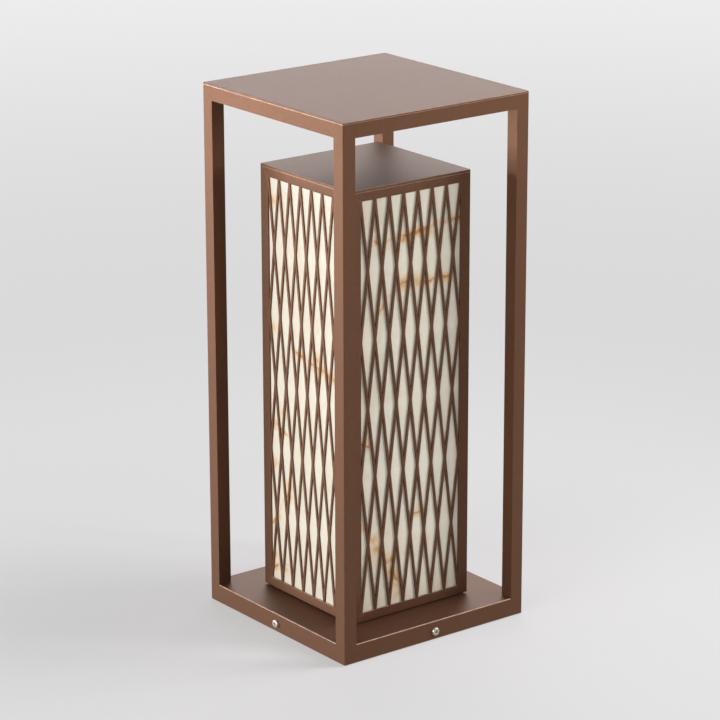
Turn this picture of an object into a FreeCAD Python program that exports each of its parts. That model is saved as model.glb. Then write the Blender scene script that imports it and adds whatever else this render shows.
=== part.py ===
import FreeCAD, Part
import math
import operator
import os

import Sketcher
from FreeCAD import Placement, Rotation, Vector

# Cage lantern that stands on the floor: a welded square cage of tubes with a
# flat top and a low base, and inside it a closed lantern whose four sides are
# metal sheets cut into a lattice of tall diamonds over stone panels.
# Millimetres, +Z up, origin on the floor under the middle, front towards -Y.

SIZES = {
    # Cage: square tubes and the plate over them
    "lamp_width": 250,
    "lamp_height": 600,
    "tube_side": 16,
    "tube_wall": 1.5,
    "post_edge_radius": 1,
    "top_plate_thickness": 2,
    "top_edge_radius": 0.8,
    # Base tray: one sheet folded down on four sides, notched for the posts
    "base_height": 22,
    "base_sheet": 2.5,
    "base_edge_radius": 1.2,
    "rim_floor_gap": 1,
    # Base plate: one sheet folded up on four sides inside the tray
    "mount_sheet": 2.5,
    "mount_clearance": 0.5,
    "foot_side": 18,
    "foot_inset": 20,
    "foot_height": 2.5,
    # Side screws, button heads with a hexagon socket
    "side_screw_height": 10,
    "side_screw_diameter": 5,
    "side_screw_length": 12,
    "side_head_diameter": 9.5,
    "side_head_height": 2.75,
    "side_head_flat": 4.4,
    "side_socket_width": 3,
    "side_socket_depth": 1.6,
    "side_hole_clearance": 0.25,
    # Lantern: lattice panels, floor and cap
    "lantern_width": 162,
    "lantern_headroom": 70,
    "gasket_thickness": 1.5,
    "gasket_inset": 4,
    "gasket_width": 8,
    "lattice_sheet": 1.2,
    "lattice_stile": 13,
    "lattice_head": 10,
    "lattice_sill": 10.5,
    "lattice_columns": 7,
    "lattice_rows": 3,
    "lattice_bar": 3.2,
    "lattice_corner_radius": 20,
    "cap_thickness": 3,
    "cap_chamfer": 0.5,
    "lantern_sheet": 1.5,
    "flange_margin": 1,
    "corner_margin": 0.5,
    "sheet_clearance": 0.2,
    # Stone panels, rebated round their edges for the flanges beside them, and
    # the angles inside their corners
    "stone_thickness": 6,
    "stone_field_margin": 0.3,
    "stone_top_gap": 0.8,
    "retainer_leg": 15,
    "retainer_sheet": 1.5,
    # Lantern screws, hexagon heads
    "lantern_screw_diameter": 4,
    "lantern_screw_length": 8,
    "lantern_head_width": 7,
    "lantern_head_height": 2.8,
    "lantern_screw_inset": 15,
    "thread_clearance": 0.1,
    # Light column
    "column_foot_width": 60,
    "column_foot_thickness": 3,
    "column_side": 36,
    "column_wall": 2,
    "column_headroom": 50,
    "board_width": 14,
    "board_thickness": 1.6,
    "board_margin": 10,
    # Wiring pieces on the base plate
    "lead_hole_side": 12,
    "lead_hole_gap": 6,
    "inlet_side": 20,
    "inlet_bore": 10,
    "inlet_lip": 3,
    "inlet_lip_thickness": 1,
    "driver_length": 94,
    "driver_width": 34,
    "driver_height": 13,
    "driver_ear": 8,
    "driver_ear_thickness": 2,
    "driver_ear_slot": 3.5,
    "driver_flange_gap": 20,
    "terminal_length": 34,
    "terminal_width": 18,
    "terminal_height": 12,
    "terminal_ways": 3,
    "terminal_mouth": 6,
    "terminal_mouth_depth": 7,
    "terminal_sill": 3,
    "terminal_flange_gap": 40,
}

# Corner of a hexagon from its middle, as a share of its width across flats
HEXAGON_CORNER_SHARE = 1 / math.sqrt(3)
QUARTER = 90
# A fillet stays this share of the wall or corner that limits it
FILLET_LIMIT_SHARE = 0.9
SIDES = ("front", "right", "back", "left")
CORNERS = ("front_left", "front_right", "back_right", "back_left")

doc = FreeCAD.newDocument("andon_floor_lamp")
sheet = doc.addObject("Spreadsheet::Sheet", "Sizes")
for row, (alias, number) in enumerate(SIZES.items(), 1):
    sheet.set(f"A{row}", alias)
    sheet.set(f"B{row}", str(number))
    sheet.setAlias(f"B{row}", alias)
doc.recompute()

OPERATORS = {
    "+": operator.add,
    "-": operator.sub,
    "*": operator.mul,
    "/": operator.truediv,
}


class Size:
    """A value together with the expression that ties it to the sheet."""

    def __init__(self, text, value):
        self.text = text
        self.value = value

    def __add__(self, other):
        return joined(self, "+", other)

    def __sub__(self, other):
        return joined(self, "-", other)

    def __mul__(self, other):
        return joined(self, "*", other)

    def __truediv__(self, other):
        return joined(self, "/", other)

    def __neg__(self):
        return Size(f"-{self.text}", -self.value)

    def root(self):
        return Size(f"sqrt({self.text})", math.sqrt(self.value))


def joined(left, sign, right):
    """Left and right joined by one sign, each a Size or a plain factor."""
    left, right = as_size(left), as_size(right)
    value = OPERATORS[sign](left.value, right.value)
    return Size(f"({left.text} {sign} {right.text})", value)


def as_size(item):
    return item if isinstance(item, Size) else Size(repr(item), item)


def size(alias):
    """One cell of the sheet."""
    return Size(f"Sizes.{alias}", float(sheet.get(alias)))


def smaller(left, right):
    return left if left.value <= right.value else right


ZERO = as_size(0)
pieces = []


def turned(turn):
    """Placement some quarter turns about the lamp's axis."""
    return Placement(Vector(), Rotation(Vector(0, 0, 1), QUARTER * turn))


def new_body(label, turn=0):
    """A body of its own, turned about the lamp's axis by quarter turns."""
    body = doc.addObject("PartDesign::Body", label)
    body.Label = label
    body.Placement = turned(turn)
    pieces.append(body)
    return body


def repeat(body, label, turn):
    """The same piece again, turned about the lamp's axis."""
    copy = doc.addObject("App::Link", label)
    copy.Label = label
    copy.LinkedObject = body
    copy.Placement = turned(turn)
    pieces.append(copy)


def origin_feature(body, role):
    return next(item for item in body.Origin.OriginFeatures if item.Role == role)


def new_sketch(body, role, lift=ZERO, right=ZERO, up=ZERO):
    """A sketch on one of the body's planes: XY faces up, XZ faces the front
    and YZ faces right, lift being the way along that direction."""
    sketch = body.newObject("Sketcher::SketchObject", "Sketch")
    sketch.AttachmentSupport = (origin_feature(body, role), [""])
    sketch.MapMode = "FlatFace"
    for axis, offset in (("x", right), ("y", up), ("z", lift)):
        if offset is not ZERO:
            sketch.setExpression(f"AttachmentOffset.Base.{axis}", offset.text)
    return sketch


def dimension(sketch, kind, place, length):
    index = sketch.addConstraint(Sketcher.Constraint(kind, *place, length.value))
    sketch.setExpression(f"Constraints[{index}]", length.text)


def outline(sketch, corners):
    """A closed outline, counterclockwise through (x, y) corners. A corner
    (x, y, radius) starts an arc that bulges out on its way to the next one."""
    first = sketch.GeometryCount
    count = len(corners)
    spots = [Vector(corner[0].value, corner[1].value, 0) for corner in corners]
    for index, corner in enumerate(corners):
        start, end = spots[index], spots[(index + 1) % count]
        if len(corner) == 2:
            sketch.addGeometry(Part.LineSegment(start, end))
            continue
        chord = end - start
        radius = corner[2].value
        bulge = radius - math.sqrt(radius**2 - (chord.Length / 2) ** 2)
        outward = Vector(chord.y, -chord.x, 0).normalize()
        middle = (start + end) * 0.5 + outward * bulge
        sketch.addGeometry(Part.Arc(start, middle, end))
    for index, corner in enumerate(corners):
        edge = first + index
        following = first + (index + 1) % count
        sketch.addConstraint(Sketcher.Constraint("Coincident", edge, 2, following, 1))
        dimension(sketch, "DistanceX", (edge, 1), corner[0])
        dimension(sketch, "DistanceY", (edge, 1), corner[1])
        if len(corner) == 3:
            dimension(sketch, "Radius", (edge,), corner[2])


def rectangle(sketch, left, right, low, high):
    outline(sketch, [(left, low), (right, low), (right, high), (left, high)])


def square(sketch, half):
    rectangle(sketch, -half, half, -half, half)


def plus_shape(sketch, reach, inner):
    """A square of the given reach whose corners are notched to inner."""
    outline(sketch, [
        (-inner, -reach), (inner, -reach), (inner, -inner), (reach, -inner),
        (reach, inner), (inner, inner), (inner, reach), (-inner, reach),
        (-inner, inner), (-reach, inner), (-reach, -inner), (-inner, -inner),
    ])


def hexagon(sketch, across, x=ZERO, y=ZERO):
    corner = across * HEXAGON_CORNER_SHARE
    half = across / 2
    outline(sketch, [
        (x + corner, y), (x + corner / 2, y + half), (x - corner / 2, y + half),
        (x - corner, y), (x - corner / 2, y - half), (x + corner / 2, y - half),
    ])


def circle(sketch, radius, x=ZERO, y=ZERO):
    centre = Vector(x.value, y.value, 0)
    ring = Part.Circle(centre, Vector(0, 0, 1), radius.value)
    edge = sketch.addGeometry(ring)
    dimension(sketch, "DistanceX", (edge, 3), x)
    dimension(sketch, "DistanceY", (edge, 3), y)
    dimension(sketch, "Radius", (edge,), radius)


def finish(body, feature):
    body.Tip = feature
    doc.recompute()
    return feature


def pad(body, sketch, length, back=False, both_ways=False):
    """Material along the sketch's direction, or back against it."""
    feature = body.newObject("PartDesign::Pad", "Pad")
    feature.Profile = sketch
    feature.setExpression("Length", length.text)
    feature.Reversed = back
    feature.Midplane = both_ways
    return finish(body, feature)


def pocket(body, sketch, depth=None, ahead=False):
    """A cut against the sketch's direction, or ahead along it. With no depth
    it goes through everything on both sides."""
    before = body.Shape.Volume
    feature = body.newObject("PartDesign::Pocket", "Pocket")
    feature.Profile = sketch
    if depth is None:
        feature.Type = "ThroughAll"
        feature.Midplane = True
    else:
        feature.setExpression("Length", depth.text)
        feature.Reversed = ahead
    finish(body, feature)
    if body.Shape.Volume >= before:
        raise RuntimeError(f"{body.Label}: a pocket cuts nothing")
    return feature


def revolve(body, sketch, axis):
    feature = body.newObject("PartDesign::Revolution", "Revolution")
    feature.Profile = sketch
    feature.ReferenceAxis = (sketch, [axis])
    return finish(body, feature)


def fillet(body, chosen, radius):
    """Round the edges that chosen picks from the body as it stands."""
    return dress_edges(body, "PartDesign::Fillet", chosen, "Radius", radius)


def chamfer(body, chosen, width):
    """Bevel the edges that chosen picks from the body as it stands."""
    return dress_edges(body, "PartDesign::Chamfer", chosen, "Size", width)


def dress_edges(body, kind, chosen, property_name, length):
    names = [f"Edge{index}" for index, edge in enumerate(body.Shape.Edges, 1) if chosen(edge)]
    base = body.Tip
    feature = body.newObject(kind, "EdgeDress")
    feature.Base = (base, names)
    feature.setExpression(property_name, length.text)
    return finish(body, feature)


def lies_at(edge, level):
    """Whether a flat edge lies at one height."""
    box = edge.BoundBox
    return math.isclose(box.ZMin, level.value) and math.isclose(box.ZMax, level.value)


def ring_pattern(body, count=len(SIDES)):
    """Copies of the whole body about the lamp's axis."""
    feature = body.newObject("PartDesign::PolarPattern", "PolarPattern")
    feature.TransformMode = "Whole shape"
    feature.Axis = (origin_feature(body, "Z_Axis"), [""])
    feature.Occurrences = count
    return finish(body, feature)


def line_pattern(body, feature, role, spacing, count):
    pattern = body.newObject("PartDesign::LinearPattern", "LinearPattern")
    pattern.Originals = [feature]
    pattern.Direction = (origin_feature(body, role), [""])
    pattern.Mode = "Spacing"
    pattern.setExpression("Offset", spacing.text)
    pattern.setExpression("Occurrences", count.text)
    return finish(body, pattern)


def grid_pattern(body, feature, spacing_x, count_x, spacing_z, count_z):
    """Copies of one feature in columns along X and rows along Z."""
    grid = body.newObject("PartDesign::MultiTransform", "MultiTransform")
    grid.Originals = [feature]
    steps = []
    for role, spacing, count in (
        ("X_Axis", spacing_x, count_x),
        ("Z_Axis", spacing_z, count_z),
    ):
        step = body.newObject("PartDesign::LinearPattern", "LinearPattern")
        step.Direction = (origin_feature(body, role), [""])
        step.Mode = "Spacing"
        step.setExpression("Offset", spacing.text)
        step.setExpression("Occurrences", count.text)
        steps.append(step)
    grid.Transformations = steps
    return finish(body, grid)


# Heights and half widths that several pieces share
cage_half = size("lamp_width") / 2
post_face = cage_half - size("tube_side")
cage_foot = size("rim_floor_gap")
plate_under = size("lamp_height") - size("top_plate_thickness")
rail_under = plate_under - size("tube_side")
base_top = size("base_height")
base_under = base_top - size("base_sheet")
tray_inside = cage_half - size("base_sheet")
mount_half = tray_inside - size("mount_clearance")
mount_inside = mount_half - size("mount_sheet")
mount_under = size("foot_height")
mount_top = mount_under + size("mount_sheet")
lantern_half = size("lantern_width") / 2
lantern_bottom = base_top + size("gasket_thickness")
lantern_top = rail_under - size("lantern_headroom")
cap_under = lantern_top - size("cap_thickness")
lattice_back = lantern_half - size("lattice_sheet")
field_half = lantern_half - size("lattice_stile")
field_low = lantern_bottom + size("lattice_sill")
field_high = cap_under - size("lattice_head")
flange_half = lattice_back - size("sheet_clearance")
flange_inside = flange_half - size("lantern_sheet")
floor_top = lantern_bottom + size("lantern_sheet")
stone_face = lattice_back - size("sheet_clearance")
stone_half = flange_inside - size("sheet_clearance")
stone_back = stone_face - size("stone_thickness")
skirt_height = size("lattice_head") - size("flange_margin")
floor_flange = size("lattice_sill") - size("flange_margin")
screw_radius = size("side_screw_diameter") / 2
side_hole = screw_radius + size("side_hole_clearance")
lantern_screw_radius = size("lantern_screw_diameter") / 2
lantern_screw_hole = lantern_screw_radius + size("thread_clearance")
lantern_screw_place = stone_back - size("lantern_screw_inset")
column_foot_half = size("column_foot_width") / 2
column_foot_top = floor_top + size("column_foot_thickness")
column_height = cap_under - size("column_headroom") - column_foot_top
lead_hole_half = size("lead_hole_side") / 2
lead_hole_near = column_foot_half + size("lead_hole_gap")


def cage_post(turn):
    """Square tube from the floor gap to the top plate, its outer edge round."""
    body = new_body(f"post_{CORNERS[turn]}", turn)
    wall = size("tube_wall")
    radius = size("post_edge_radius")
    start = -cage_half
    end = -post_face
    section = new_sketch(body, "XY_Plane", lift=cage_foot)
    outline(section, [
        (start, start + radius, radius), (start + radius, start), (end, start),
        (end, end), (start, end),
    ])
    rectangle(section, start + wall, end - wall, start + wall, end - wall)
    pad(body, section, plate_under - cage_foot)


def top_rail(turn):
    """Square tube between two posts, under the top plate."""
    body = new_body(f"top_rail_{SIDES[turn]}", turn)
    wall = size("tube_wall")
    section = new_sketch(body, "YZ_Plane")
    rectangle(section, -cage_half, -post_face, rail_under, plate_under)
    rectangle(section, wall - cage_half, -post_face - wall, rail_under + wall, plate_under - wall)
    pad(body, section, post_face * 2, both_ways=True)


def top_plate():
    """Plate over the whole cage, round at its corners and along its top."""
    body = new_body("top_plate")
    radius = size("post_edge_radius")
    reach = cage_half
    near = reach - radius
    face = new_sketch(body, "XY_Plane", lift=plate_under)
    outline(face, [
        (-near, -reach), (near, -reach, radius), (reach, -near), (reach, near, radius),
        (near, reach), (-near, reach, radius), (-reach, near), (-reach, -near, radius),
    ])
    pad(body, face, size("top_plate_thickness"))
    limit = smaller(size("top_plate_thickness"), radius) * FILLET_LIMIT_SHARE
    edge_radius = smaller(size("top_edge_radius"), limit)
    fillet(body, lambda edge: lies_at(edge, size("lamp_height")), edge_radius)


def base_tray():
    """Floor sheet and rim of the base, folded from one sheet."""
    body = new_body("base_tray")
    blank = new_sketch(body, "XY_Plane", lift=cage_foot)
    plus_shape(blank, cage_half, post_face)
    pad(body, blank, base_top - cage_foot)
    hollow = new_sketch(body, "XY_Plane", lift=cage_foot)
    plus_shape(hollow, tray_inside, post_face)
    pocket(body, hollow, base_under - cage_foot, ahead=True)
    fillet(body, is_fold_edge, size("base_edge_radius"))
    side_screw_holes(body)
    floor_holes(body, base_top, size("base_sheet"))


def is_fold_edge(edge):
    """Whether an edge of the tray is one of the four outer folds."""
    box = edge.BoundBox
    reach = max(abs(box.Center.x), abs(box.Center.y))
    return lies_at(edge, base_top) and math.isclose(reach, cage_half.value)


def side_screw_holes(body):
    """A hole through the middle of each of the four flanges."""
    for plane in ("XZ_Plane", "YZ_Plane"):
        holes = new_sketch(body, plane)
        circle(holes, side_hole, y=size("side_screw_height"))
        pocket(body, holes)


def floor_holes(body, top, thickness):
    """Holes for the lantern screws and, behind the column, for its leads."""
    holes = new_sketch(body, "XY_Plane", lift=top)
    circle(holes, lantern_screw_hole, -lantern_screw_place)
    circle(holes, lantern_screw_hole, lantern_screw_place)
    lead_hole_far = lead_hole_near + size("lead_hole_side")
    rectangle(holes, -lead_hole_half, lead_hole_half, lead_hole_near, lead_hole_far)
    pocket(body, holes, thickness)


def base_plate():
    """Plate under the tray with flanges that carry the side screws."""
    body = new_body("base_plate")
    inner = post_face - size("mount_clearance")
    blank = new_sketch(body, "XY_Plane", lift=mount_under)
    plus_shape(blank, mount_half, inner)
    pad(body, blank, base_under - mount_under)
    hollow = new_sketch(body, "XY_Plane", lift=mount_top)
    plus_shape(hollow, mount_inside, inner)
    pocket(body, hollow, base_under - mount_top, ahead=True)
    side_screw_holes(body)
    inlet = new_sketch(body, "XY_Plane", lift=mount_top)
    square(inlet, size("inlet_side") / 2)
    pocket(body, inlet, size("mount_sheet"))


def side_screws():
    """Button-head screws, one through each side of the rim."""
    body = new_body("side_screws")
    head = size("side_head_diameter") / 2
    height = size("side_head_height")
    flat = size("side_head_flat") / 2
    length = size("side_screw_length")
    half_profile = new_sketch(body, "YZ_Plane", right=-cage_half, up=size("side_screw_height"))
    outline(half_profile, [
        (-height, ZERO), (length, ZERO), (length, screw_radius), (ZERO, screw_radius),
        (ZERO, head), (-height, flat),
    ])
    revolve(body, half_profile, "H_Axis")
    socket = new_sketch(body, "XZ_Plane", lift=cage_half + height, up=size("side_screw_height"))
    hexagon(socket, size("side_socket_width"))
    pocket(body, socket, size("side_socket_depth"))
    ring_pattern(body)


def rubber_foot(turn):
    """Flat square foot under a corner of the base plate."""
    foot = doc.addObject("Part::Box", f"foot_{CORNERS[turn]}")
    foot.Label = foot.Name
    side = size("foot_side")
    foot.setExpression("Length", side.text)
    foot.setExpression("Width", side.text)
    foot.setExpression("Height", mount_under.text)
    place = post_face - size("mount_clearance") - size("foot_inset")
    corner = turned(turn).multVec(Vector(-1, -1, 0))
    foot.setExpression("Placement.Base.x", (place * round(corner.x) - side / 2).text)
    foot.setExpression("Placement.Base.y", (place * round(corner.y) - side / 2).text)
    pieces.append(foot)


def gasket():
    """Seal between the tray and the lantern, set back from its faces."""
    body = new_body("gasket")
    outer = lantern_half - size("gasket_inset")
    ring = new_sketch(body, "XY_Plane", lift=base_top)
    square(ring, outer)
    square(ring, outer - size("gasket_width"))
    pad(body, ring, size("gasket_thickness"))


def lantern_floor():
    """Shallow pan that closes the lantern below."""
    body = new_body("lantern_floor")
    blank = new_sketch(body, "XY_Plane", lift=lantern_bottom)
    square(blank, flange_half)
    pad(body, blank, floor_flange)
    hollow = new_sketch(body, "XY_Plane", lift=floor_top)
    square(hollow, flange_inside)
    pocket(body, hollow, floor_flange - size("lantern_sheet"), ahead=True)
    floor_holes(body, floor_top, size("lantern_sheet"))


def lattice_panels():
    """The lantern's sides: sheets cut into tall diamonds, mitred to each other.
    Bars run straight from the bottom to the top and cross at every half row;
    the first and last rows are halves."""
    body = new_body(f"lattice_{SIDES[0]}")
    thickness = size("lattice_sheet")
    columns = size("lattice_columns")
    rows = size("lattice_rows")
    field = new_sketch(body, "XZ_Plane", lift=lattice_back)
    rectangle(field, -field_half, field_half, field_low, field_high)
    pad(body, field, thickness)

    pitch = field_half * 2 / columns
    row = (field_high - field_low) / rows
    for first, level, across, upward in (
        (pitch / 2 - field_half, field_low, columns, rows + 1),
        (-field_half, field_low + row / 2, columns + 1, rows),
    ):
        cell = new_sketch(body, "XZ_Plane", lift=lantern_half, right=first, up=level)
        diamond(cell, pitch, row / 2)
        cut = pocket(body, cell, thickness)
        grid_pattern(body, cut, pitch, across, row, upward)

    stiles = new_sketch(body, "XY_Plane", lift=lantern_bottom)
    for side in (-1, 1):
        corners = [
            (field_half * side, -lantern_half), (lantern_half * side, -lantern_half),
            (lattice_back * side, -lattice_back), (field_half * side, -lattice_back),
        ]
        outline(stiles, corners[::side])
    pad(body, stiles, cap_under - lantern_bottom)
    rails = new_sketch(body, "XZ_Plane", lift=lattice_back)
    rectangle(rails, -field_half, field_half, lantern_bottom, field_low)
    rectangle(rails, -field_half, field_half, field_high, cap_under)
    pad(body, rails, thickness)
    for turn, side in enumerate(SIDES[1:], 1):
        repeat(body, f"lattice_{side}", turn)


def diamond(sketch, pitch, half_row):
    """Opening between four bars about the sketch's origin. Its tips are sharp
    and its side corners are rounded."""
    bar = size("lattice_bar")
    radius = size("lattice_corner_radius")
    half_width = (pitch - bar) / 2
    half_height = half_row - half_row * bar / pitch
    slant = (half_width * half_width + half_height * half_height).root()
    # The round starts at radius x tan(half the turn) from the sharp corner
    along = radius * half_width / half_height
    inward = along * half_width / slant
    upward = along * half_height / slant
    outline(sketch, [
        (ZERO, -half_height), (half_width - inward, -upward, radius),
        (half_width - inward, upward), (ZERO, half_height),
        (inward - half_width, upward, radius), (inward - half_width, -upward),
    ])


def corner_angle(turn):
    """Angle behind two lattice panels, which are welded to it."""
    body = new_body(f"corner_angle_{CORNERS[turn]}", turn)
    start = -lattice_back
    tip = size("lattice_stile") - size("corner_margin") - lantern_half
    inside = start + size("lantern_sheet")
    low = lantern_bottom + floor_flange + size("sheet_clearance")
    high = cap_under - skirt_height - size("sheet_clearance")
    angle_section(body, start, inside, tip, low, high)


def retainer_angle(turn):
    """Angle inside a corner of the stone, which it holds outward."""
    body = new_body(f"stone_retainer_{CORNERS[turn]}", turn)
    start = size("sheet_clearance") - stone_back
    tip = start + size("retainer_leg")
    inside = start + size("retainer_sheet")
    angle_section(body, start, inside, tip, floor_top, cap_under)


def angle_section(body, start, inside, tip, low, high):
    section = new_sketch(body, "XY_Plane", lift=low)
    outline(section, [
        (start, start), (tip, start), (tip, inside), (inside, inside), (inside, tip),
        (start, tip),
    ])
    pad(body, section, high - low)


def stone_panel(turn):
    """Stone sheet behind the lattice, mitred to the next. Its field stands up
    to the lattice, and its edges lie back for the flanges and corner angles."""
    body = new_body(f"stone_{SIDES[turn]}", turn)
    section = new_sketch(body, "XY_Plane", lift=floor_top)
    outline(section, [
        (-stone_half, -stone_half), (stone_half, -stone_half),
        (stone_back, -stone_back), (-stone_back, -stone_back),
    ])
    pad(body, section, cap_under - size("stone_top_gap") - floor_top)
    margin = size("stone_field_margin")
    reach = field_half + margin
    field = new_sketch(body, "XZ_Plane", lift=stone_half)
    rectangle(field, -reach, reach, field_low - margin, field_high + margin)
    pad(body, field, stone_face - stone_half)


def lantern_cap():
    """Flat cap with a skirt that fits inside the lattice panels."""
    body = new_body("lantern_cap")
    cover = new_sketch(body, "XY_Plane", lift=cap_under)
    square(cover, lantern_half)
    pad(body, cover, size("cap_thickness"))
    chamfer(body, lambda edge: lies_at(edge, lantern_top), size("cap_chamfer"))
    skirt = new_sketch(body, "XY_Plane", lift=cap_under)
    square(skirt, flange_half)
    square(skirt, flange_inside)
    pad(body, skirt, skirt_height, back=True)


def lantern_screws():
    """Screws from under the tray up into the lantern's floor."""
    body = new_body("lantern_screws")
    spot = -lantern_screw_place
    head = new_sketch(body, "XY_Plane", lift=base_under)
    hexagon(head, size("lantern_head_width"), spot)
    pad(body, head, size("lantern_head_height"), back=True)
    shank = new_sketch(body, "XY_Plane", lift=base_under)
    circle(shank, lantern_screw_radius, spot)
    pad(body, shank, size("lantern_screw_length"))
    ring_pattern(body, count=2)


def column_foot():
    """Plate that carries the light column."""
    body = new_body("column_foot")
    face = new_sketch(body, "XY_Plane", lift=floor_top)
    square(face, column_foot_half)
    pad(body, face, size("column_foot_thickness"))


def light_column():
    """Square tube that carries the boards and takes their heat."""
    body = new_body("light_column")
    half = size("column_side") / 2
    section = new_sketch(body, "XY_Plane", lift=column_foot_top)
    square(section, half)
    square(section, half - size("column_wall"))
    pad(body, section, column_height)


def light_board(turn):
    """Light-emitting board along one side of the column."""
    body = new_body(f"light_board_{SIDES[turn]}", turn)
    face = size("column_side") / 2
    low = column_foot_top + size("board_margin")
    length = column_height - size("board_margin") * 2
    half = size("board_width") / 2
    board = new_sketch(body, "XZ_Plane", lift=face)
    rectangle(board, -half, half, low, low + length)
    pad(body, board, size("board_thickness"))


def cable_inlet():
    """Rubber bushing in the base plate, a lip on each side of the sheet."""
    body = new_body("cable_inlet")
    neck = size("inlet_side") / 2
    lip = neck + size("inlet_lip")
    thick = size("inlet_lip_thickness")
    bore = size("inlet_bore") / 2
    for half, low, height in (
        (lip, mount_under - thick, thick),
        (neck, mount_under, size("mount_sheet")),
        (lip, mount_top, thick),
    ):
        layer = new_sketch(body, "XY_Plane", lift=low)
        square(layer, half)
        square(layer, bore)
        pad(body, layer, height)


def driver():
    """Closed power supply, flat on the base plate, with a slotted ear at
    each end."""
    body = new_body("driver")
    half = size("driver_length") / 2
    half_width = size("driver_width") / 2
    middle = half_width + size("driver_flange_gap") - mount_inside
    case = new_sketch(body, "XY_Plane", lift=mount_top)
    rectangle(case, -half, half, middle - half_width, middle + half_width)
    pad(body, case, size("driver_height"))
    ear = size("driver_ear")
    slot = size("driver_ear_slot") / 2
    ears = new_sketch(body, "XY_Plane", lift=mount_top)
    for side in (-1, 1):
        root = half * side
        end = (half + ear) * side
        slot_root = (half + ear / 2) * side
        corners = [
            (root, middle - ear), (end, middle - ear), (end, middle - slot),
            (slot_root, middle - slot), (slot_root, middle + slot), (end, middle + slot),
            (end, middle + ear), (root, middle + ear),
        ]
        outline(ears, corners[::side])
    pad(body, ears, size("driver_ear_thickness"))


def terminal_block():
    """Terminal strip with a square mouth for each lead."""
    body = new_body("terminal_block")
    half = size("terminal_length") / 2
    far = mount_inside - size("terminal_flange_gap")
    near = far - size("terminal_width")
    block = new_sketch(body, "XY_Plane", lift=mount_top)
    rectangle(block, -half, half, near, far)
    pad(body, block, size("terminal_height"))
    step = size("terminal_length") / size("terminal_ways")
    mouth = size("terminal_mouth")
    left = (step - mouth) / 2 - half
    low = mount_top + size("terminal_sill")
    first = new_sketch(body, "XZ_Plane", lift=-near)
    rectangle(first, left, left + mouth, low, low + mouth)
    opening = pocket(body, first, size("terminal_mouth_depth"))
    line_pattern(body, opening, "X_Axis", step, size("terminal_ways"))


for quarter in range(len(SIDES)):
    cage_post(quarter)
    top_rail(quarter)
    rubber_foot(quarter)
    corner_angle(quarter)
    stone_panel(quarter)
    retainer_angle(quarter)
    light_board(quarter)
top_plate()
base_tray()
base_plate()
side_screws()
gasket()
lantern_floor()
lattice_panels()
lantern_cap()
lantern_screws()
column_foot()
light_column()
cable_inlet()
driver()
terminal_block()
doc.recompute()

for item in doc.Objects:
    if "Invalid" in item.State or "Error" in item.State:
        raise RuntimeError(f"{item.Label} did not compute")
for piece in pieces:
    if piece.Shape.isNull() or not piece.Shape.isValid():
        raise RuntimeError(f"{piece.Label} has no valid shape")

os.makedirs("parts", exist_ok=True)
for piece in pieces:
    piece.Shape.exportStep(f"parts/{piece.Label}.step")
print(f"{len(pieces)} pieces")
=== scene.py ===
"""Looks for the andon floor lamp: a bronze-coated cage round a lantern of latticed onyx.

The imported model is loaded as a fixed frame. Its pieces get their finishes. The lattice,
the onyx, the side screws and the light boards are built anew in full detail, and a pale
studio is set up at the photograph's viewing angle. Lengths are in metres.
"""

import math
from contextlib import contextmanager

import bmesh
import bpy
from bpy.props import FloatProperty, FloatVectorProperty, IntProperty, PointerProperty
from bpy.types import NodeSocket, Operator, Panel, PropertyGroup
from mathutils import Matrix, Vector


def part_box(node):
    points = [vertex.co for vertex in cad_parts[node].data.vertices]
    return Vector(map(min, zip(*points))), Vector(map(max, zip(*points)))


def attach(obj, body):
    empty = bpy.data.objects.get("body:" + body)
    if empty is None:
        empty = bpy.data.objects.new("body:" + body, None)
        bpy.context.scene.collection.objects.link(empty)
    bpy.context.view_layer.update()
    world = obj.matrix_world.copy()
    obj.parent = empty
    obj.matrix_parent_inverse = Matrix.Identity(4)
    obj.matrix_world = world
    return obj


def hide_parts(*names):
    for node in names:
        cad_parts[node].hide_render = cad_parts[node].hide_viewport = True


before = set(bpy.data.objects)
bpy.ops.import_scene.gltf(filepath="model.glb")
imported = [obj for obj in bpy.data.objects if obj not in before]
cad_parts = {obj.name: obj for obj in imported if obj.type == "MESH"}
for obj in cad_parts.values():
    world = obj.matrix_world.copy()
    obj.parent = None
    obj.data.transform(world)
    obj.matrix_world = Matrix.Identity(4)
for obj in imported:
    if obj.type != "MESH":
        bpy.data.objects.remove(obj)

bl_info = {
    "name": "Andon Floor Lamp",
    "version": (1, 0, 0),
    "blender": (4, 5, 0),
    "location": "View3D > Sidebar > Andon Lamp",
    "description": "Dresses the andon floor lamp and sets up its studio",
    "category": "Object",
}

BODY = "root"
SIDES = ("front", "right", "back", "left")
CORNERS = ("front_left", "front_right", "back_right", "back_left")
QUARTER = math.pi / 2
MM = 0.001
HAIR = 0.0001  # small chamfers and overlaps of the built pieces
DOUBLES = 1e-7  # points of a built piece that are nearer than this are one
CAD_DOUBLES = 1e-6  # and those of a CAD piece
FACE_REACH = 1e-5  # a point this near to a face lies on it
LAMP_MIDDLE = 0.3  # height that the studio's lamps point at
SMOOTH_ANGLE = math.radians(35)
THREAD_ANGLE = math.radians(40)


# Sizes, colours and the studio's set-up, as the sidebar shows them


def length(text, value):
    """Length property in metres, shown in the scene's unit."""
    return FloatProperty(
        name=text, description=text, default=value, min=0, unit="LENGTH", precision=5
    )


def colour(text, value):
    """Linear colour property."""
    return FloatVectorProperty(
        name=text, description=text, default=value, size=3, min=0, max=1, subtype="COLOR"
    )


def share(text, value):
    """Property from 0 to 1."""
    return FloatProperty(
        name=text, description=text, default=value, min=0, max=1, subtype="FACTOR"
    )


def whole(text, note, value):
    """Property that counts something."""
    return IntProperty(name=text, description=note, default=value, min=1)


def degrees(text, note, value):
    """Angle property, given in degrees."""
    turn = math.radians(value)
    return FloatProperty(name=text, description=note, default=turn, subtype="ANGLE")


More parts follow.
